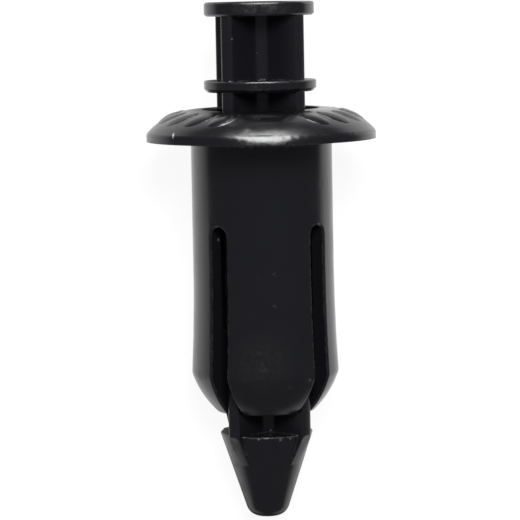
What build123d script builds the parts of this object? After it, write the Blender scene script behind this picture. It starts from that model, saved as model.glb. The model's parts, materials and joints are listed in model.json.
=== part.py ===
from build123d import *
import os
from math import atan2, degrees, hypot

# Plastic push rivet for an 8 mm panel hole, in two moulded pieces:
#   sleeve      a domed flange, a round shank and four springing legs
#   centre_pin  a head, a collar, four fins in the shape of a cross and an arrow tip
#
# Millimetres. Both pieces are modelled upright on one axis, where height 0 is the flange's
# seat, heights above it run towards the pin's head, and depths below it towards the tip.
# They are then laid down together as the rivet lies on a table.

# ---- Driving dimensions: sleeve ----
SHANK_DIAMETER = 8.0       # fills the panel hole
SHANK_WALL = 0.72          # round the wide part of the bore, which takes the collar and the head
COLLAR_SEAT_WIDTH = 0.15   # 45 degree step in the bore, which stops the collar

FLANGE_DIAMETER = 13.0
RIM_HEIGHT = 0.43          # blunt outer edge of the flange
DOME_HEIGHT = 1.75         # seat to the top of the dome
CROWN_WIDTH = 0.40         # flat ring round the mouth of the bore
RIM_ROUNDING = 0.30
MOUTH_CHAMFER = 0.06

LEG_COUNT = 4
LEG_END_DEPTH = 15.43
FLARE_DEPTH = 7.05         # where the legs begin to splay from the straight shank
LEG_SPLAY = 0.19           # how far they splay, on the radius
BULGE_ROUNDING = 0.70      # at the widest part of the legs
LEAD_IN_LENGTH = 2.20      # from there to the flat end of a leg
LEAD_IN_WIDTH = 1.39
LEAD_IN_BOW = 0.16         # how far the lead-in bows out of a straight cone
LEG_EDGE_CHAMFER = 0.10
SLOT_WIDTH = 1.10
SLOT_DEPTH = 4.73          # seat to the round top of each slot

PAD_THICKNESS = 1.08       # how far the pads inside the leg ends stand in
PAD_LENGTH = 4.05
PAD_RAMP = 1.00            # height over which a pad grows out of the leg
PAD_CHAMFER = 0.20

# ---- Driving dimensions: centre pin ----
HEAD_TOP = 7.77            # height of the head when the pin stands ready
HEAD_THICKNESS = 0.78
HEAD_ROUNDING = 0.16       # upper edge
HEAD_CHAMFER = 0.12        # lower edge

HEAD_TO_COLLAR = 4.41      # head top to collar top
COLLAR_THICKNESS = 0.64
COLLAR_TOP_CHAMFER = 0.06
COLLAR_CHAMFER = 0.20      # lower edge, which lands on the step in the bore

FIN_ROOT_ROUNDING = 0.65
FIN_EDGE_ROUNDING = 0.18
FIN_POINT_DIAMETER = 0.70  # the fins taper towards this at the tip, and sink into its cone on the way

CORE_LENGTH = 6.40         # the round core that backs the pads once the pin is pushed home
CORE_CONE = 0.90

LEDGE_CATCH = 0.60         # how far the top of the arrow tip reaches under the legs
LEDGE_CHAMFER = 0.06
TIP_LENGTH = 4.90
TIP_FLAT_DIAMETER = 2.05
TIP_ROUNDING = 0.80

NICKED_FIN = 1             # the one fin with a nick above the ledge, counted round from 0
NICK_DROP = 0.08           # how far the nick's floor lies below the ledge
NICK_DEPTH = 0.60          # at the floor, on the radius
NICK_LENGTH = 2.00         # from there up to where it runs out

# ---- Clearances ----
HEAD_CLEARANCE = 0.17      # head to bore, on the radius
COLLAR_CLEARANCE = 0.10    # collar to bore, on the radius
FIN_CLEARANCE = 0.10       # fins to the guide bore, on the radius
FIN_SIDE_CLEARANCE = 0.175 # fins to the sides of the slots
CORE_CLEARANCE = 0.10      # core to the pads, on the radius
TRAVEL_OUT = 1.22          # how far the pin can be drawn out before its ledges meet the legs
STOP_GAP = 0.05            # left between the stops at each end of the pin's travel

CUT_MARGIN = 1.0           # how far a cutting shape runs past what it cuts

# ---- Worked out from them: sleeve ----
FLANGE_RADIUS = FLANGE_DIAMETER / 2
SHANK_RADIUS = SHANK_DIAMETER / 2
BORE_RADIUS = SHANK_RADIUS - SHANK_WALL
GUIDE_RADIUS = BORE_RADIUS - COLLAR_SEAT_WIDTH
COLLAR_EDGE_DEPTH = HEAD_TO_COLLAR + COLLAR_THICKNESS - COLLAR_CHAMFER - DOME_HEIGHT   # pin pushed home
COLLAR_SEAT_DEPTH = COLLAR_EDGE_DEPTH + STOP_GAP - COLLAR_CLEARANCE                    # top of the step
BULGE_RADIUS = SHANK_RADIUS + LEG_SPLAY
BULGE_DEPTH = LEG_END_DEPTH - LEAD_IN_LENGTH
LEG_END_RADIUS = BULGE_RADIUS - LEAD_IN_WIDTH
PAD_RADIUS = GUIDE_RADIUS - PAD_THICKNESS
PAD_DEPTH = LEG_END_DEPTH - PAD_LENGTH

# ---- Worked out from them: centre pin ----
HEAD_RADIUS = BORE_RADIUS - HEAD_CLEARANCE
HEAD_BOTTOM = HEAD_TOP - HEAD_THICKNESS
COLLAR_RADIUS = BORE_RADIUS - COLLAR_CLEARANCE
COLLAR_TOP = HEAD_TOP - HEAD_TO_COLLAR
COLLAR_BOTTOM = COLLAR_TOP - COLLAR_THICKNESS
FIN_RADIUS = GUIDE_RADIUS - FIN_CLEARANCE
FIN_THICKNESS = SLOT_WIDTH - 2 * FIN_SIDE_CLEARANCE
CORE_RADIUS = PAD_RADIUS - CORE_CLEARANCE
CORE_CONE_RADIUS = FIN_THICKNESS       # where a cone runs out between the fins
CORE_BOTTOM_DEPTH = PAD_DEPTH - PAD_RAMP
CORE_TOP_DEPTH = CORE_BOTTOM_DEPTH - CORE_LENGTH
LEDGE_DEPTH = LEG_END_DEPTH + STOP_GAP + TRAVEL_OUT
LEDGE_RADIUS = PAD_RADIUS + LEDGE_CATCH
TIP_DEPTH = LEDGE_DEPTH + TIP_LENGTH
TIP_FLAT_RADIUS = TIP_FLAT_DIAMETER / 2
CLEAR_RADIUS = FIN_RADIUS + CUT_MARGIN


def slot_angle(leg):
    """Degrees round the axis to the slot that follows that leg, where a fin runs too."""
    return (leg + 0.5) * 360 / LEG_COUNT


def turned(outline, rounded=(), chamfered=()):
    """The solid that a closed outline of radius and height makes about the axis.

    rounded and chamfered name corners of the outline, each as ((radius, height), size).
    """
    profile = make_face(outline)
    for corner, size in rounded:
        profile = fillet(profile.vertices().sort_by_distance(corner)[0], size)
    for corner, size in chamfered:
        profile = chamfer(profile.vertices().sort_by_distance(corner)[0], size)
    return revolve(Plane.XZ * profile, Axis.Z)


# ---- Sleeve ----
def sleeve_body():
    """Flange, shank, leg wall and pads as one turned shape, before the slots."""
    dome = TangentArc(
        (BORE_RADIUS + CROWN_WIDTH, DOME_HEIGHT), (FLANGE_RADIUS, RIM_HEIGHT), tangent=(1, 0)
    )
    flare = TangentArc(
        (SHANK_RADIUS, -FLARE_DEPTH), (BULGE_RADIUS, -BULGE_DEPTH), tangent=(0, -1)
    )
    lead_in = SagittaArc(
        (BULGE_RADIUS, -BULGE_DEPTH), (LEG_END_RADIUS, -LEG_END_DEPTH), LEAD_IN_BOW
    )
    inside = Polyline(
        lead_in @ 1,
        (PAD_RADIUS + PAD_CHAMFER, -LEG_END_DEPTH),
        (PAD_RADIUS, -LEG_END_DEPTH + PAD_CHAMFER),
        (PAD_RADIUS, -PAD_DEPTH),
        (GUIDE_RADIUS, -PAD_DEPTH + PAD_RAMP),
        (GUIDE_RADIUS, -COLLAR_SEAT_DEPTH - COLLAR_SEAT_WIDTH),
        (BORE_RADIUS, -COLLAR_SEAT_DEPTH),
        (BORE_RADIUS, DOME_HEIGHT),
        dome @ 0,
    )
    outside = Polyline(dome @ 1, (FLANGE_RADIUS, 0), (SHANK_RADIUS, 0), flare @ 0)
    return turned(
        [dome, outside, flare, lead_in, inside],
        rounded=[
            ((FLANGE_RADIUS, RIM_HEIGHT), RIM_ROUNDING),
            ((BULGE_RADIUS, -BULGE_DEPTH), BULGE_ROUNDING),
        ],
        chamfered=[((BORE_RADIUS, DOME_HEIGHT), MOUTH_CHAMFER)],
    )


def slot_cutter():
    """A round-topped blade from the axis out through the wall, for the slot on the -Y side."""
    bottom = LEG_END_DEPTH + CUT_MARGIN
    top_centre = SLOT_DEPTH + SLOT_WIDTH / 2
    blade = Pos(0, -(top_centre + bottom) / 2) * Rectangle(SLOT_WIDTH, bottom - top_centre)
    blade += Pos(0, -top_centre) * Circle(SLOT_WIDTH / 2)
    return extrude(Plane.XZ * blade, amount=BULGE_RADIUS + CUT_MARGIN)


def is_outer_slot_edge(edge):
    """True for the edges where a slot breaks out through the outside of the wall."""
    middle = edge @ 0.5
    is_outside = hypot(middle.X, middle.Y) > GUIDE_RADIUS + COLLAR_SEAT_WIDTH
    runs_down = edge.bounding_box().size.Z > SLOT_WIDTH / 4
    return is_outside and runs_down and middle.Z < -SLOT_DEPTH


def make_sleeve():
    body = sleeve_body()
    for leg in range(LEG_COUNT):
        body -= Rot(0, 0, slot_angle(leg)) * slot_cutter()
    return chamfer(body.edges().filter_by(is_outer_slot_edge), LEG_EDGE_CHAMFER)


# ---- Centre pin ----
def fin_section():
    """The cross that the fins make in line with the slots, with rounded roots and edges."""
    fin = Pos(FIN_RADIUS / 2, 0) * Rectangle(FIN_RADIUS, FIN_THICKNESS)
    section = Circle(FIN_THICKNESS / 2)
    for leg in range(LEG_COUNT):
        section += Rot(0, 0, slot_angle(leg)) * fin
    section &= Circle(FIN_RADIUS)
    by_radius = section.vertices().sort_by(lambda v: v.X**2 + v.Y**2)
    section = fillet(by_radius[:LEG_COUNT], FIN_ROOT_ROUNDING)
    by_radius = section.vertices().sort_by(lambda v: v.X**2 + v.Y**2)
    return fillet(by_radius[-2 * LEG_COUNT:], FIN_EDGE_ROUNDING)


def fin_nick():
    """The wedge that is missing from the outer edge of one fin, just above the ledge."""
    floor = -LEDGE_DEPTH - NICK_DROP
    wedge = Polyline(
        (FIN_RADIUS - NICK_DEPTH, floor),
        (FIN_RADIUS, floor + NICK_LENGTH),
        (CLEAR_RADIUS, floor + NICK_LENGTH),
        (CLEAR_RADIUS, floor),
        (FIN_RADIUS - NICK_DEPTH, floor),
    )
    cutter = extrude(Plane.XZ * make_face(wedge), amount=FIN_THICKNESS, both=True)
    return Rot(0, 0, slot_angle(NICKED_FIN)) * cutter


def make_fins():
    """The fins from the head to the tip, which taper below the ledge."""
    bar_end = -TIP_DEPTH + TIP_ROUNDING
    bar = Pos(0, 0, bar_end) * extrude(fin_section(), amount=HEAD_TOP - HEAD_ROUNDING - bar_end)
    outline = Polyline(
        (0, HEAD_TOP),
        (CLEAR_RADIUS, HEAD_TOP),
        (CLEAR_RADIUS, -LEDGE_DEPTH),
        (FIN_RADIUS, -LEDGE_DEPTH),
        (FIN_POINT_DIAMETER / 2, -TIP_DEPTH),
        (0, -TIP_DEPTH),
        (0, HEAD_TOP),
    )
    return (bar & turned(outline)) - fin_nick()


def disc(radius, top, bottom, rounded=(), chamfered=()):
    outline = Polyline((0, top), (radius, top), (radius, bottom), (0, bottom), (0, top))
    return turned(outline, rounded, chamfered)


def make_head():
    return disc(
        HEAD_RADIUS,
        HEAD_TOP,
        HEAD_BOTTOM,
        rounded=[((HEAD_RADIUS, HEAD_TOP), HEAD_ROUNDING)],
        chamfered=[((HEAD_RADIUS, HEAD_BOTTOM), HEAD_CHAMFER)],
    )


def make_collar():
    return disc(
        COLLAR_RADIUS,
        COLLAR_TOP,
        COLLAR_BOTTOM,
        chamfered=[
            ((COLLAR_RADIUS, COLLAR_TOP), COLLAR_TOP_CHAMFER),
            ((COLLAR_RADIUS, COLLAR_BOTTOM), COLLAR_CHAMFER),
        ],
    )


def make_core():
    """The round core between the fins, coned at both ends."""
    top = -CORE_TOP_DEPTH
    bottom = -CORE_BOTTOM_DEPTH
    outline = Polyline(
        (0, top + CORE_CONE),
        (CORE_CONE_RADIUS, top + CORE_CONE),
        (CORE_RADIUS, top),
        (CORE_RADIUS, bottom),
        (CORE_CONE_RADIUS, bottom - CORE_CONE),
        (0, bottom - CORE_CONE),
        (0, top + CORE_CONE),
    )
    return turned(outline)


def make_tip():
    """The arrow tip that fills in between the fins below the ledge."""
    ledge = (LEDGE_RADIUS, -LEDGE_DEPTH)
    end = (TIP_FLAT_RADIUS, -TIP_DEPTH)
    outline = Polyline((0, -LEDGE_DEPTH), ledge, end, (0, -TIP_DEPTH), (0, -LEDGE_DEPTH))
    return turned(outline, rounded=[(end, TIP_ROUNDING)], chamfered=[(ledge, LEDGE_CHAMFER)])


def make_centre_pin():
    return make_fins() + make_head() + make_collar() + make_core() + make_tip()


# ---- Rest ----
def lying():
    """Where the upright rivet goes to lie on its side: one leg and the flange's edge touch the table."""
    tilt = degrees(atan2(FLANGE_RADIUS - BULGE_RADIUS, BULGE_DEPTH))
    return Rot(tilt - 90, 0, 0)


os.makedirs("parts", exist_ok=True)
PIECES = {"sleeve": make_sleeve(), "centre_pin": make_centre_pin()}
for name, piece in PIECES.items():
    export_step(lying() * piece, f"parts/{name}.step")
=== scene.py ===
import json
from math import cos, degrees, pi, radians, sin
from random import Random

import bmesh
import bpy
from mathutils import Matrix, Vector
from mathutils.bvhtree import BVHTree


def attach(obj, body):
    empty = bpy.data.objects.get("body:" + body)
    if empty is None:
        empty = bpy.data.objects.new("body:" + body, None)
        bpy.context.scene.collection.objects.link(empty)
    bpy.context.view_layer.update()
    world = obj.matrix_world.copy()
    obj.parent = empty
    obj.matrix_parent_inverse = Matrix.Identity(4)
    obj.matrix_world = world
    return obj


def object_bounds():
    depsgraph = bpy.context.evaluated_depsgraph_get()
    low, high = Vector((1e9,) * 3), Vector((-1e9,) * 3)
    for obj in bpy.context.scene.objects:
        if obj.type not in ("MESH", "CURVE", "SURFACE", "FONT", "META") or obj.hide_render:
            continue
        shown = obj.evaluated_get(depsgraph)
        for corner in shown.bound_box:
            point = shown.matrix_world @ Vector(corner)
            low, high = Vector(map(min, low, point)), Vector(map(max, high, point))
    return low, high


# A plastic push rivet in black moulded nylon. The CAD gives the shapes of its two pieces. This
# script gives them their materials, adds the raised details that are too fine for the CAD, and
# sets up the table, the light and the camera.
#
# Blender takes lengths in metres, and MM turns millimetres into them. A length that isn't
# multiplied by MM is in millimetres, unless its comment says otherwise. A place on the rivet is
# given as a height from the flange's seat towards the pin's head, a radius from the axis, and
# an angle in degrees from the leg that faces up, turning towards +X.

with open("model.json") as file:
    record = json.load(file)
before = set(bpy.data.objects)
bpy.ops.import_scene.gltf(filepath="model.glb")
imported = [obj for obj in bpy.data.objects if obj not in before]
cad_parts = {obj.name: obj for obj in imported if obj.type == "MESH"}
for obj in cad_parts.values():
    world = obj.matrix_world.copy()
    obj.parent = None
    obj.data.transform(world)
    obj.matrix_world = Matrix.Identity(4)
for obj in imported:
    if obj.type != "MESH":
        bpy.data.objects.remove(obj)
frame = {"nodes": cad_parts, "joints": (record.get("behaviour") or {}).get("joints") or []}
cad_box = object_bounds()

MM = 0.001

# ---------------------------------------------------------------- the rivet's own axes
TO_TIP = Vector(frame["joints"][0]["axis"]).normalized()
TO_HEAD = -TO_TIP
ACROSS = Vector((1, 0, 0))
TOPMOST = ACROSS.cross(TO_HEAD)          # square to the axis, on the side that faces up
MIDDLE = -6.85 * MM * TO_HEAD            # about half way along the rivet
FAR = 20.0                               # a radius and a height outside the rivet


def outward(angle):
    """The direction square to the axis at that angle."""
    turn = radians(angle)
    return cos(turn) * TOPMOST + sin(turn) * ACROSS


def on_rivet(height, radius, angle):
    """The point at that height, radius and angle."""
    return MM * (height * TO_HEAD + radius * outward(angle))


def surface_tree(node):
    """A CAD node's surface, in a form that rays can be cast at."""
    mesh = frame["nodes"][node].data
    corners = [vertex.co.copy() for vertex in mesh.vertices]
    return BVHTree.FromPolygons(corners, [list(face.vertices) for face in mesh.polygons])


SURFACE = {node: surface_tree(node) for node in frame["nodes"]}


def beside(node, height, angle):
    """The outermost point of a node at that height and angle."""
    place, _, _, _ = SURFACE[node].ray_cast(on_rivet(height, FAR, angle), -outward(angle))
    return place


def above(node, radius, angle):
    """The topmost point of a node, seen from the head, with the surface's direction there."""
    place, normal, _, _ = SURFACE[node].ray_cast(on_rivet(FAR, radius, angle), TO_TIP)
    return place, normal


# ---------------------------------------------------------------- camera
IMAGE_WIDTH = 520                        # pixels
IMAGE_MIDDLE = IMAGE_WIDTH / 2
PIXELS_PER_MM = 17.56                    # at the rivet's axis
PICTURE_CENTRE = (263.45, 259.35)        # where the middle of the rivet shows, in pixels
CAMERA_DISTANCE = 160 * MM
LOOK_FROM_HEAD = radians(5.75)           # the view leans this far towards the head
LOOK_FROM_SIDE = radians(5.4)            # and is turned this far round the axis
ROLL = radians(1.08)
FOCAL_PIXELS = PIXELS_PER_MM * CAMERA_DISTANCE / MM
SENSOR_WIDTH = 36.0
CLIP_START = 10 * MM


def camera_axes():
    """The directions to the right, up and back out of the picture."""
    side = cos(LOOK_FROM_SIDE) * TOPMOST - sin(LOOK_FROM_SIDE) * ACROSS
    back = cos(LOOK_FROM_HEAD) * side + sin(LOOK_FROM_HEAD) * TO_HEAD
    up = (TO_HEAD - TO_HEAD.dot(back) * back).normalized()
    right = up.cross(back)
    return cos(ROLL) * right - sin(ROLL) * up, sin(ROLL) * right + cos(ROLL) * up, back


def camera_place():
    """The camera's place, which puts the rivet's middle at the picture's centre."""
    right, up, back = camera_axes()
    off_right = (IMAGE_MIDDLE - PICTURE_CENTRE[0]) / PIXELS_PER_MM * MM
    off_up = (PICTURE_CENTRE[1] - IMAGE_MIDDLE) / PIXELS_PER_MM * MM
    return MIDDLE + CAMERA_DISTANCE * back + off_right * right + off_up * up


def make_camera():
    data = bpy.data.cameras.new("camera")
    data.sensor_width = SENSOR_WIDTH
    data.lens = SENSOR_WIDTH * FOCAL_PIXELS / IMAGE_WIDTH
    data.clip_start = CLIP_START
    camera = bpy.data.objects.new("camera", data)
    turn = Matrix(camera_axes()).transposed().to_4x4()
    camera.matrix_world = Matrix.Translation(camera_place()) @ turn
    bpy.context.scene.collection.objects.link(camera)
    bpy.context.scene.camera = camera


def seen_at(node, pixel):
    """The place on a node that shows at a pixel, with the surface's direction there."""
    right, up, back = camera_axes()
    off_centre = (pixel[0] - IMAGE_MIDDLE) * right + (IMAGE_MIDDLE - pixel[1]) * up
    ray = off_centre - FOCAL_PIXELS * back
    place, normal, _, _ = SURFACE[node].ray_cast(camera_place(), ray.normalized())
    return place, normal


# ---------------------------------------------------------------- shader nodes
MIX_SOCKETS = {                          # a Mix node's first and second input, and its output
    "FLOAT": (2, 3, 0),
    "VECTOR": (4, 5, 1),
    "RGBA": (6, 7, 2),
}
GIVE_NUMBERS = ("DISTANCE", "DOT_PRODUCT", "LENGTH")


def add(tree, kind, inputs=None, **settings):
    """Adds a shader node. An input is given a plain value, or the socket that feeds it."""
    node = tree.nodes.new("ShaderNode" + kind)
    for name, value in settings.items():
        setattr(node, name, value)
    for name, value in (inputs or {}).items():
        if isinstance(value, bpy.types.NodeSocket):
            tree.links.new(value, node.inputs[name])
        else:
            node.inputs[name].default_value = value
    return node


def maths(tree, operation, *values):
    return add(tree, "Math", dict(enumerate(values)), operation=operation).outputs[0]


def vector_maths(tree, operation, *vectors):
    node = add(tree, "VectorMath", dict(enumerate(vectors)), operation=operation)
    return node.outputs["Value" if operation in GIVE_NUMBERS else "Vector"]


def mixed(tree, kind, share, first, second):
    """Passes from the first value to the second as the share goes from 0 to 1."""
    a, b, result = MIX_SOCKETS[kind]
    return add(tree, "Mix", {0: share, a: first, b: second}, data_type=kind).outputs[result]


def mixed_shaders(tree, share, first, second):
    return add(tree, "MixShader", {0: share, 1: first, 2: second}).outputs[0]


def smooth_range(tree, value, start, end, low=0.0, high=1.0):
    """A value that passes softly from low at the start to high at the end."""
    inputs = {"Value": value, "From Min": start, "From Max": end, "To Min": low, "To Max": high}
    return add(tree, "MapRange", inputs, interpolation_type="SMOOTHSTEP").outputs[0]


def noise(tree, place, settings, output="Fac"):
    return add(tree, "TexNoise", {"Vector": place, **settings}).outputs[output]


def bump(tree, height, distance, normal):
    inputs = {"Height": height, "Distance": distance, "Strength": 1.0, "Normal": normal}
    return add(tree, "Bump", inputs).outputs[0]


def blank_material(name):
    material = bpy.data.materials.new(name)
    material.use_nodes = True
    material.node_tree.nodes.clear()
    return material, material.node_tree


# ---------------------------------------------------------------- light and table
LAMP_DISTANCE = 160 * MM
SOFTBOX_RISE = radians(35)               # of its middle above the table, seen from the rivet
SOFTBOX_SIZE = (112 * MM, 116 * MM)
SOFTBOX_POWER = 0.58                     # watts
FILL_RISE = radians(75)
FILL_SIZE = (60 * MM, 60 * MM)
FILL_POWER = 0.19                        # watts

ROOM_TONE = (0.12, 0.121, 0.132, 1)      # the dim room round the white table
TABLE_HALF = 0.6                         # metres
TABLE_GLOW = (0.93, 0.93, 0.93, 1)       # the white that the camera sees,
TABLE_SHADOWED = (0.15, 0.15, 0.15, 1)   # and the paint that adds a faint shadow to it
TABLE_PAINT = (0.9, 0.9, 0.9, 1)         # the table as it lights the rivet from under it

# The plastic mirrors a painted white strip of the table, which fades to the dim room further out.
MIRROR_TONE = (1.0, 1.0, 1.0, 1)
MIRROR_MIDDLE = (3 * MM, 4 * MM)         # of the strip, in X and Y
MIRROR_HALF = 7 * MM                     # its middle line runs this far both ways in Y
MIRROR_BRIGHT = 9 * MM                   # it is white up to here from that line,
MIRROR_DIM = 45 * MM                     # and as dim as the room from here on
PAINTED_SHADE_TONE = 0.08                        # what a painted shade under the rivet leaves of the white,
PAINTED_SHADE_FULL = 1.5 * MM                    # which is full up to here from its axis
PAINTED_SHADE_END = 5 * MM                       # and ends here


def make_lamp(name, rise, size, power):
    """A soft lamp towards the head's side of the rivet, that far up over the table."""
    data = bpy.data.lights.new(name, "AREA")
    data.shape = "RECTANGLE"
    data.size, data.size_y = size
    data.energy = power
    lamp = bpy.data.objects.new(name, data)
    towards = Vector((0, cos(rise), sin(rise)))
    lamp.location = LAMP_DISTANCE * towards
    lamp.rotation_mode = "QUATERNION"
    lamp.rotation_quaternion = towards.to_track_quat("Z", "Y")
    lamp.visible_camera = False
    bpy.context.scene.collection.objects.link(lamp)
    return lamp


def make_lamps():
    """A softbox that shows in reflections only, and a fill that never shows in them."""
    softbox = make_lamp("head_side_softbox", SOFTBOX_RISE, SOFTBOX_SIZE, SOFTBOX_POWER)
    softbox.visible_diffuse = False
    fill = make_lamp("overhead_fill", FILL_RISE, FILL_SIZE, FILL_POWER)
    fill.visible_glossy = False


def make_world():
    world = bpy.data.worlds.new("studio")
    world.use_nodes = True
    world.node_tree.nodes["Background"].inputs["Color"].default_value = ROOM_TONE
    bpy.context.scene.world = world


def strip_distance(tree, place):
    """The distance on the table from the middle line of the painted white strip."""
    aside = maths(tree, "SUBTRACT", place["X"], MIRROR_MIDDLE[0])
    along = maths(tree, "SUBTRACT", place["Y"], MIRROR_MIDDLE[1])
    beyond = maths(tree, "SUBTRACT", maths(tree, "ABSOLUTE", along), MIRROR_HALF)
    past_end = maths(tree, "MAXIMUM", beyond, 0.0)
    offset = add(tree, "CombineXYZ", {"X": aside, "Y": past_end}).outputs[0]
    return vector_maths(tree, "LENGTH", offset)


def painted_mirror_table(tree):
    """Painted reflection of the table: shaded under the rivet, white beside it, and then dim."""
    position = add(tree, "NewGeometry").outputs["Position"]
    place = add(tree, "SeparateXYZ", {"Vector": position}).outputs
    from_axis = maths(tree, "ABSOLUTE", place["X"])
    # painted shade: the white that reflections see dims towards the rivet's axis
    shade = smooth_range(tree, from_axis, PAINTED_SHADE_FULL, PAINTED_SHADE_END, PAINTED_SHADE_TONE, 1.0)
    fade = smooth_range(tree, strip_distance(tree, place), MIRROR_BRIGHT, MIRROR_DIM)
    white = add(tree, "Emission", {"Color": MIRROR_TONE, "Strength": shade}).outputs[0]
    dim = add(tree, "Emission", {"Color": ROOM_TONE}).outputs[0]
    return mixed_shaders(tree, fade, white, dim)


def white_table():
    """White where the camera sees it, with a faint shadow, and white paint under the lamps."""
    material, tree = blank_material("white_table")
    glow = add(tree, "Emission", {"Color": TABLE_GLOW}).outputs[0]
    shadowed = add(tree, "BsdfDiffuse", {"Color": TABLE_SHADOWED}).outputs[0]
    for_camera = add(tree, "AddShader", {0: glow, 1: shadowed}).outputs[0]
    paint_under_lamps = add(tree, "BsdfDiffuse", {"Color": TABLE_PAINT}).outputs[0]
    path = add(tree, "LightPath").outputs
    shiny = maths(tree, "MAXIMUM", path["Is Glossy Ray"], path["Is Transmission Ray"])
    for_rivet = mixed_shaders(tree, shiny, paint_under_lamps, painted_mirror_table(tree))
    table = mixed_shaders(tree, path["Is Camera Ray"], for_rivet, for_camera)
    add(tree, "OutputMaterial", {"Surface": table})
    return material


def make_floor():
    z = cad_box[0].z
    signs = ((-1, -1), (1, -1), (1, 1), (-1, 1))
    corners = [(TABLE_HALF * x, TABLE_HALF * y, z) for x, y in signs]
    mesh = bpy.data.meshes.new("floor")
    mesh.from_pydata(corners, [], [(0, 1, 2, 3)])
    mesh.materials.append(white_table())
    floor = bpy.data.objects.new("floor", mesh)
    bpy.context.scene.collection.objects.link(floor)


# ---------------------------------------------------------------- materials
SLEEVE_COLOUR = (0.0098, 0.0100, 0.0126, 1)
PIN_COLOUR = (0.0112, 0.0108, 0.0140, 1)
# the lighter tone of rubs and worn edges, also used for the patches of painted light
RUB_AND_PAINTED_LIGHT_COLOUR = (0.036, 0.036, 0.037, 1)
TORN_COLOUR = (0.085, 0.085, 0.088, 1)
MOULDED_ROUGHNESS = (0.18, 0.25)         # from the shiniest to the dullest flow mark
RUBBED_ROUGHNESS = 0.55
TORN_ROUGHNESS = (0.25, 0.5)
NYLON_IOR = 1.6

# A noise's scale is how many of its marks fit in a metre. Its range is the two values of the
# noise between which its effect grows.
FLOW_MARKS = {"Scale": 420.0, "Detail": 3.0}
FLOW_RANGE = (0.35, 0.65)
RIPPLES = {"Scale": 1400.0, "Detail": 2.0}
RIPPLE_HEIGHT = 0.004 * MM
GRAIN = {"Scale": 9000.0, "Detail": 2.0}
GRAIN_HEIGHT = 0.0012 * MM
TEARS = {"Scale": 6000.0, "Detail": 2.0}
TEAR_RANGE = (0.35, 0.65)

EDGE_SOFTNESS = 0.16 * MM                # how far a worn edge shades round
EDGE_SAMPLES = 8
EDGE_RANGE = (0.995, 0.93)               # cosines of its turn there: no wear, and full wear
EDGE_WEAR = 0.8                          # how rubbed a worn edge is
CRISP_EDGE = 0.25                        # what an edge that isn't worn keeps of the rounding
HANDLING = {"Scale": 2000.0, "Detail": 4.0, "Roughness": 0.7}
HANDLING_RANGE = (0.42, 0.60)            # from the lengths left crisp to those worn

PATCH_OUTLINE = {"Scale": 1300.0, "Detail": 4.0, "Roughness": 0.7}
PATCH_RAGGEDNESS = 0.9 * MM                # how far a patch's outline wanders in all
PATCH_CORE = 0.3                           # a patch is full in this share of its reach
SPECKLE = {"Scale": 4200.0, "Detail": 3.0}
SPECKLE_RANGE = (0.38, 0.62)
SPECKLE_LEAST = 0.35                     # what the speckles leave of a patch, at the least
NOISE_MIDDLE = (0.5, 0.5, 0.5)

# rubs, scuffs and painted light: node, where it shows in the picture (pixels), reach (mm),
# strength
RUBS_AND_PAINTED_LIGHT = (
    # painted light, not a rub: a broad lightening of the front leg's lower half
    ("sleeve", (262, 366), 2.3, 0.20),
    ("sleeve", (260, 355), 0.30, 0.45),
    ("sleeve", (263, 368), 0.34, 0.50),
    ("sleeve", (290, 386), 0.25, 0.6),
    # a painted glint, not a scuff
    ("sleeve", (309, 380), 0.25, 0.7),
    ("sleeve", (200, 376), 0.40, 0.6),
    ("sleeve", (321, 183), 0.35, 0.8),
    ("sleeve", (248, 139), 0.80, 0.25),
    ("sleeve", (276, 139), 0.80, 0.25),
    ("sleeve", (232, 122), 0.50, 0.5),
    ("sleeve", (247, 131), 0.35, 0.5),
    ("sleeve", (258, 118), 0.30, 0.4),
    ("sleeve", (259, 275), 0.16, 0.5),
    ("sleeve", (275, 276), 0.14, 0.6),
    ("sleeve", (275, 308), 0.16, 0.8),
    ("centre_pin", (238, 9), 0.60, 0.3),
    ("centre_pin", (249, 4), 0.80, 0.9),
    ("centre_pin", (270, 4), 0.80, 0.9),
    ("centre_pin", (283, 9), 0.70, 0.4),
    ("centre_pin", (256, 86), 0.40, 0.3),
    ("centre_pin", (233, 448), 0.45, 0.8),
    ("centre_pin", (237, 466), 0.45, 0.7),
    ("centre_pin", (244, 488), 0.50, 0.7),
)


def rub_and_painted_light_mask(tree, node, place):
    """Towards one in ragged speckled patches: rubs on the node's plastic, and some painted light.
    """
    outline = noise(tree, place, PATCH_OUTLINE, "Color")
    shift = vector_maths(tree, "SUBTRACT", outline, NOISE_MIDDLE)
    ragged = vector_maths(tree, "MULTIPLY_ADD", shift, (PATCH_RAGGEDNESS,) * 3, place)
    rubbed_and_painted_light = 0.0
    for rubbed_node, pixel, reach, strength in RUBS_AND_PAINTED_LIGHT:
        if rubbed_node == node:
            middle, _ = seen_at(node, pixel)
            off = vector_maths(tree, "DISTANCE", ragged, middle)
            patch = smooth_range(tree, off, reach * MM, PATCH_CORE * reach * MM, 0.0, strength)
            rubbed_and_painted_light = maths(tree, "MAXIMUM", rubbed_and_painted_light, patch)
    speckle = smooth_range(tree, noise(tree, place, SPECKLE), *SPECKLE_RANGE, SPECKLE_LEAST, 1.0)
    return maths(tree, "MULTIPLY", rubbed_and_painted_light, speckle)


def edge_wear(tree, soft_edge, handled):
    """Towards one along the edges, in the lengths that handling has worn."""
    true_normal = add(tree, "NewGeometry").outputs["True Normal"]
    agreement = vector_maths(tree, "DOT_PRODUCT", soft_edge, true_normal)
    edge = smooth_range(tree, agreement, *EDGE_RANGE, 0.0, EDGE_WEAR)
    return maths(tree, "MULTIPLY", edge, handled)


def worn_normal(tree, soft_edge, handled):
    """The surface's direction: edges shade round where they are worn and stay crisp between."""
    crisp = add(tree, "NewGeometry").outputs["Normal"]
    share = add(tree, "MapRange", {"Value": handled, "To Min": CRISP_EDGE}).outputs[0]
    return vector_maths(tree, "NORMALIZE", mixed(tree, "VECTOR", share, crisp, soft_edge))


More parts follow.
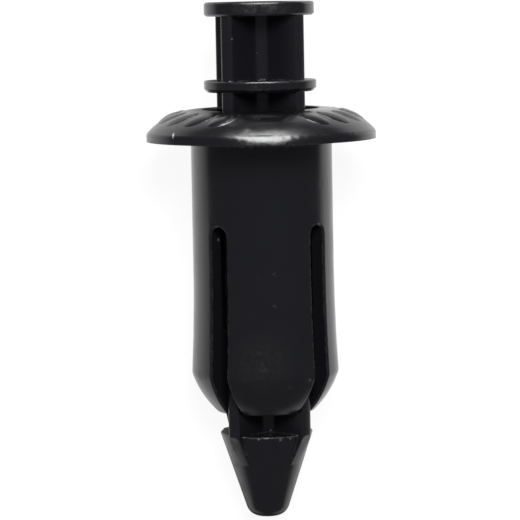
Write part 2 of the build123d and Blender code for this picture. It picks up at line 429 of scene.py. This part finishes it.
def black_nylon(node, colour):
    """Moulded black nylon: faint flow marks, fine grain, worn edges, rubs and painted light."""
    material, tree = blank_material(node + "_nylon")
    place = add(tree, "TexCoord").outputs["Object"]
    soft_edge = add(tree, "Bevel", {"Radius": EDGE_SOFTNESS}, samples=EDGE_SAMPLES).outputs[0]
    handled = smooth_range(tree, noise(tree, place, HANDLING), *HANDLING_RANGE)
    worn = edge_wear(tree, soft_edge, handled)
    rubbed_and_painted_light = maths(tree, "MAXIMUM", rub_and_painted_light_mask(tree, node, place), worn)
    flow = noise(tree, place, FLOW_MARKS)
    moulded = smooth_range(tree, flow, *FLOW_RANGE, *MOULDED_ROUGHNESS)
    edged = worn_normal(tree, soft_edge, handled)
    rippled = bump(tree, noise(tree, place, RIPPLES), RIPPLE_HEIGHT, edged)
    shader = add(tree, "BsdfPrincipled", {
        "Base Color": mixed(tree, "RGBA", rubbed_and_painted_light, colour, RUB_AND_PAINTED_LIGHT_COLOUR),
        "Roughness": mixed(tree, "FLOAT", rubbed_and_painted_light, moulded, RUBBED_ROUGHNESS),
        "IOR": NYLON_IOR,
        "Normal": bump(tree, noise(tree, place, GRAIN), GRAIN_HEIGHT, rippled),
    })
    add(tree, "OutputMaterial", {"Surface": shader.outputs[0]})
    return material


def torn_nylon():
    """The same nylon where it is torn, rough and whitened."""
    material, tree = blank_material("torn_nylon")
    place = add(tree, "TexCoord").outputs["Object"]
    rough = smooth_range(tree, noise(tree, place, TEARS), *TEAR_RANGE, *TORN_ROUGHNESS)
    inputs = {"Base Color": TORN_COLOUR, "Roughness": rough, "IOR": NYLON_IOR}
    shader = add(tree, "BsdfPrincipled", inputs)
    add(tree, "OutputMaterial", {"Surface": shader.outputs[0]})
    return material


def paint(node, material):
    mesh = frame["nodes"][node].data
    mesh.materials.clear()
    mesh.materials.append(material)


# ---------------------------------------------------------------- pieces
MERGE_DISTANCE = 1e-8                    # metres
MOULDED_CREASE = 30                      # degrees; an edge that turns further stays sharp
TORN_CREASE = 60


def add_piece(name, vertices, faces, body, material, crease=MOULDED_CREASE):
    """A closed piece of the visual model that rides one of the rivet's two bodies."""
    shape = bmesh.new()
    corners = [shape.verts.new(vertex) for vertex in vertices]
    for face in faces:
        shape.faces.new([corners[index] for index in face])
    bmesh.ops.remove_doubles(shape, verts=shape.verts, dist=MERGE_DISTANCE)
    bmesh.ops.recalc_face_normals(shape, faces=shape.faces)
    mesh = bpy.data.meshes.new(name)
    shape.to_mesh(mesh)
    shape.free()
    mesh.polygons.foreach_set("use_smooth", [True] * len(mesh.polygons))
    mesh.set_sharp_from_angle(angle=radians(crease))
    mesh.materials.append(material)
    piece = bpy.data.objects.new(name, mesh)
    bpy.context.scene.collection.objects.link(piece)
    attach(piece, body)


LEAF_COUNT = 8                           # on each side of the flange
LEAF_FIRST = 28                          # degrees
LEAF_PITCH = 17.5                        # degrees
LEAF_RING = 5.15                         # radius
LEAF_LENGTH = 2.0
LEAF_WIDTH = 1.2
LEAF_WIDTH_POWER = 0.6                   # of how its width dies out towards its ends,
LEAF_RISE_POWER = 0.8                    # and of how its rise does
LEAF_SLANT = radians(42)                 # from the ring's own direction
LEAF_RISE = 0.10
LEAF_CREST = 0.5                         # where its crest is, across the width from outside
LEAF_EDGE_SINK = 0.004                   # how far its edges lie in the dome,
LEAF_SINK = 0.06                         # and its underside
LEAF_STEPS = 14
LEAF_ROWS = 12


def leaf_point(angle, side, along, aside, lift):
    """A point off a leaf's middle: along it (to the top and inwards), aside, and lifted."""
    round_ring = along * cos(LEAF_SLANT) - aside * sin(LEAF_SLANT)
    inwards = along * sin(LEAF_SLANT) + aside * cos(LEAF_SLANT)
    turn = angle - side * degrees(round_ring / LEAF_RING)
    place, normal = above("sleeve", LEAF_RING - inwards, turn)
    return place + lift * MM * normal


def leaf_profile(share):
    """How far a leaf stands up across its width: it rises steeply and comes down gently."""
    if share < LEAF_CREST:
        return sin(pi / 2 * share / LEAF_CREST)
    return (1 + cos(pi * (share - LEAF_CREST) / (1 - LEAF_CREST))) / 2


def leaf_corners(angle, side):
    """The leaf's upper corners, row by row, and then its lower ones."""
    corners = []
    for upper in (True, False):
        for step in range(LEAF_STEPS + 1):
            lengthwise = 2 * step / LEAF_STEPS - 1
            taper = 1 - lengthwise * lengthwise
            half_width = LEAF_WIDTH / 2 * taper ** LEAF_WIDTH_POWER
            for row in range(LEAF_ROWS + 1):
                share = row / LEAF_ROWS
                rise = LEAF_RISE * leaf_profile(share) * taper ** LEAF_RISE_POWER
                lift = rise - LEAF_EDGE_SINK if upper else -LEAF_SINK
                along, aside = LEAF_LENGTH / 2 * lengthwise, half_width * (2 * share - 1)
                corners.append(leaf_point(angle, side, along, aside, lift))
    return corners


def leaf_faces(first, side):
    """The faces between a leaf's corners, which are numbered on from the first."""
    across = LEAF_ROWS + 1
    under = across * (LEAF_STEPS + 1)
    faces = []
    for step in range(LEAF_STEPS):
        for row in range(LEAF_ROWS):
            a = first + step * across + row
            faces.append((a, a + 1, a + across + 1, a + across))
            faces.append((a + under + across, a + under + across + 1, a + under + 1, a + under))
        a = first + step * across
        faces.append((a, a + across, a + across + under, a + under))
        a += LEAF_ROWS
        faces.append((a + under, a + across + under, a + across, a))
    return faces if side > 0 else [face[::-1] for face in faces]


def make_leaves(material):
    """Two rows of plain raised leaves on the dome, one on each side."""
    vertices, faces = [], []
    for side in (-1, 1):
        for leaf in range(LEAF_COUNT):
            faces += leaf_faces(len(vertices), side)
            vertices += leaf_corners(side * (LEAF_FIRST + LEAF_PITCH * leaf), side)
    add_piece("flange_leaves", vertices, faces, "sleeve", material)


RIM_RADIUS = 6.5
FLASH_SPAN = (-30, 26)                   # degrees round the rim
FLASH_STEPS = 110
FLASH_SEED = 5
FLASH_SWELL = 0.23                       # at the most
FLASH_TAPER_POWER = 1.1                  # of how it dies out towards its ends
FLASH_SINK = 0.008                       # how far its upper edge lies in the rim
FLASH_LIP = 0.8                          # the torn edge's share of the swelling
FLASH_LEAST_DROP = 0.02                  # of the torn edge under the seat,
FLASH_DROP = 0.13                        # and what the longest tear adds
FLASH_DROP_POWER = 2.5                   # over 1 for few long tears
FLASH_ROOT = (0.1, 6.2)                  # height and radius of its corner inside the flange

# height on the rim and share of the swelling there, from the top down
FLASH_SECTION = (
    (0.70, -0.02),
    (0.60, 0.02),
    (0.50, 0.12),
    (0.40, 0.29),
    (0.28, 0.54),
    (0.16, 0.78),
    (0.03, 1.0),
)


def flash_corners(share, rng):
    """The corners round the flash's section, at that share of its span."""
    angle = FLASH_SPAN[0] + share * (FLASH_SPAN[1] - FLASH_SPAN[0])
    taper = max(sin(pi * share), 0) ** FLASH_TAPER_POWER
    corners = []
    for height, swell in FLASH_SECTION:
        proud = FLASH_SWELL * taper * swell - FLASH_SINK
        corners.append(beside("sleeve", height, angle) + proud * MM * outward(angle))
    drop = FLASH_LEAST_DROP + FLASH_DROP * taper * rng.random() ** FLASH_DROP_POWER
    corners.append(on_rivet(-drop, RIM_RADIUS + FLASH_LIP * FLASH_SWELL * taper, angle))
    corners.append(on_rivet(*FLASH_ROOT, angle))
    return corners


def make_flash(material):
    """Moulding flash on the front of the rim: a smooth swelling with a torn lower edge."""
    rng = Random(FLASH_SEED)
    vertices, faces = [], []
    for step in range(FLASH_STEPS + 1):
        vertices += flash_corners(step / FLASH_STEPS, rng)
    around = len(FLASH_SECTION) + 2      # with the torn edge and the root
    for step in range(FLASH_STEPS):
        for corner in range(around):
            a, b = step * around + corner, step * around + (corner + 1) % around
            faces.append((a, b, b + around, a + around))
    last = FLASH_STEPS * around
    faces.append(tuple(reversed(range(around))))
    faces.append(tuple(range(last, last + around)))
    add_piece("flange_flash", vertices, faces, "sleeve", material)


RIDGE_SINK = 0.03                        # how far a ridge's foot lies in the surface


def add_ridge(name, body, material, spine, ups, width, rises):
    """A thin closed ridge along the places of the spine, standing up from it by the rises.

    It has three corners to a step, two at its foot and one at its crest.
    """
    vertices = []
    for step, place in enumerate(spine):
        before, after = spine[max(step - 1, 0)], spine[min(step + 1, len(spine) - 1)]
        side = (after - before).cross(ups[step]).normalized()
        foot = place - RIDGE_SINK * MM * ups[step]
        half = width / 2 * MM * side
        vertices += [foot - half, foot + half, place + rises[step] * MM * ups[step]]
    faces = [(0, 1, 2)]
    for step in range(len(spine) - 1):
        a = 3 * step
        faces += [(a, a + 3, a + 4, a + 1), (a + 1, a + 4, a + 5, a + 2), (a + 2, a + 5, a + 3, a)]
    last = 3 * (len(spine) - 1)
    faces.append((last + 2, last + 1, last))
    add_piece(name, vertices, faces, body, material, crease=TORN_CREASE)


BURR_STEPS = 0.35                        # for each degree round an edge with a radius of 1 mm
BURR_SINK = 0.02                         # the lowest lengths of a burr lie hidden in the edge
TEAR_STEPS = 4                           # between one torn place and the next
TEAR_POWER = 1.5                         # over 1 for few high ones
TEAR_TAPER_POWER = 0.5                   # of how a burr dies out towards its ends
TEAR_JITTER = 0.4                        # the share of its height that a step may lose

# name, node, height and radius of the edge, from and to (degrees), lean to the head (degrees),
# width, rise, seed
BURRS = (
    ("ledge_burr", "centre_pin", -16.73, 2.62, -32, 44, 32, 0.09, 0.13, 11),
    ("head_burr", "centre_pin", 7.71, 3.05, -45, 62, 50, 0.05, 0.05, 23),
    ("seat_burr", "sleeve", -0.02, 6.46, 3, 12, -50, 0.12, 0.17, 40),
    ("collar_burr", "centre_pin", 3.34, 3.13, -38, 30, 70, 0.06, 0.05, 31),
)


def torn_rises(count, most, seed):
    """Uneven heights, dying out at both ends."""
    rng = Random(seed)
    tears = [rng.random() ** TEAR_POWER for _ in range(count // TEAR_STEPS + 2)]
    rises = []
    for step in range(count):
        tear, past = divmod(step, TEAR_STEPS)
        height = tears[tear] + past / TEAR_STEPS * (tears[tear + 1] - tears[tear])
        taper = sin(pi * step / (count - 1)) ** TEAR_TAPER_POWER
        jitter = 1 - TEAR_JITTER + TEAR_JITTER * rng.random()
        rises.append(most * taper * height * jitter - BURR_SINK)
    return rises


def make_burrs(material):
    """Torn burrs along the edges of the ledge, the head, the collar and the flange's seat."""
    for name, node, height, radius, start, end, lean, width, most, seed in BURRS:
        count = int((end - start) * radius * BURR_STEPS) + 2
        angles = [start + (end - start) * step / (count - 1) for step in range(count)]
        spine = [on_rivet(height, radius, angle) for angle in angles]
        turn = radians(lean)
        ups = [cos(turn) * outward(angle) + sin(turn) * TO_HEAD for angle in angles]
        add_ridge(name, node, material, spine, ups, width, torn_rises(count, most, seed))


SCRATCH_PIXELS = ((174.4, 129.5), (173.9, 132.5), (173.4, 135.5), (172.9, 138.5))
SCRATCH_WIDTH = 0.15
SCRATCH_RISES = (0.02, 0.07, 0.07, 0.02)


def make_scratch(material):
    """The raised lip of a thin scratch on the left of the flange's rim."""
    seen = [seen_at("sleeve", pixel) for pixel in SCRATCH_PIXELS]
    spine, ups = [place for place, _ in seen], [normal for _, normal in seen]
    add_ridge("flange_scratch", "sleeve", material, spine, ups, SCRATCH_WIDTH, SCRATCH_RISES)


NIB_LEAST = 0.75                         # how far out its corners are, as a share of its size,
NIB_LUMPS = 0.5                          # and how much further out the furthest may be
NIB_FLATNESS = 0.55
NIB_SUBDIVISIONS = 2

# name, node, where it shows in the picture (pixels), size (mm), seed
NIBS = (
    ("fin_nib", "centre_pin", (232.0, 39.4), 0.075, 1),
    ("rib_nib", "centre_pin", (257.0, 53.0), 0.045, 2),
    ("collar_nib", "centre_pin", (262.5, 79.8), 0.055, 3),
    ("core_nib", "centre_pin", (270.6, 430.0), 0.08, 4),
    ("tip_nib", "centre_pin", (233.8, 450.0), 0.07, 5),
    ("leg_nib", "sleeve", (310.0, 380.0), 0.06, 6),
    ("slot_nib", "sleeve", (218.5, 240.0), 0.09, 7),
    ("left_ledge_nib", "centre_pin", (258.5, 439.8), 0.07, 8),
    ("right_ledge_nib", "centre_pin", (280.5, 439.6), 0.11, 9),
    ("far_ledge_nib", "centre_pin", (290.5, 438.8), 0.08, 10),
)


def make_nibs(material):
    """Crumbs of plastic stuck to the surface: small, lopsided and flat."""
    for name, node, pixel, size, seed in NIBS:
        place, normal = seen_at(node, pixel)
        rng = Random(seed)
        crumb = bmesh.new()
        bmesh.ops.create_icosphere(crumb, subdivisions=NIB_SUBDIVISIONS, radius=size * MM)
        for vertex in crumb.verts:
            vertex.co *= NIB_LEAST + NIB_LUMPS * rng.random()
            vertex.co.z *= NIB_FLATNESS
        turn = normal.to_track_quat("Z", "Y")
        vertices = [place + turn @ vertex.co for vertex in crumb.verts]
        faces = [[vertex.index for vertex in face.verts] for face in crumb.faces]
        crumb.free()
        add_piece(name, vertices, faces, node, material)


# ---------------------------------------------------------------- the scene
bpy.context.scene.view_settings.view_transform = "Standard"
make_camera()
make_world()
make_floor()
make_lamps()

sleeve_nylon = black_nylon("sleeve", SLEEVE_COLOUR)
pin_nylon = black_nylon("centre_pin", PIN_COLOUR)
torn = torn_nylon()
paint("sleeve", sleeve_nylon)
paint("centre_pin", pin_nylon)
make_leaves(sleeve_nylon)
make_flash(sleeve_nylon)
make_burrs(torn)
make_scratch(torn)
make_nibs(torn)
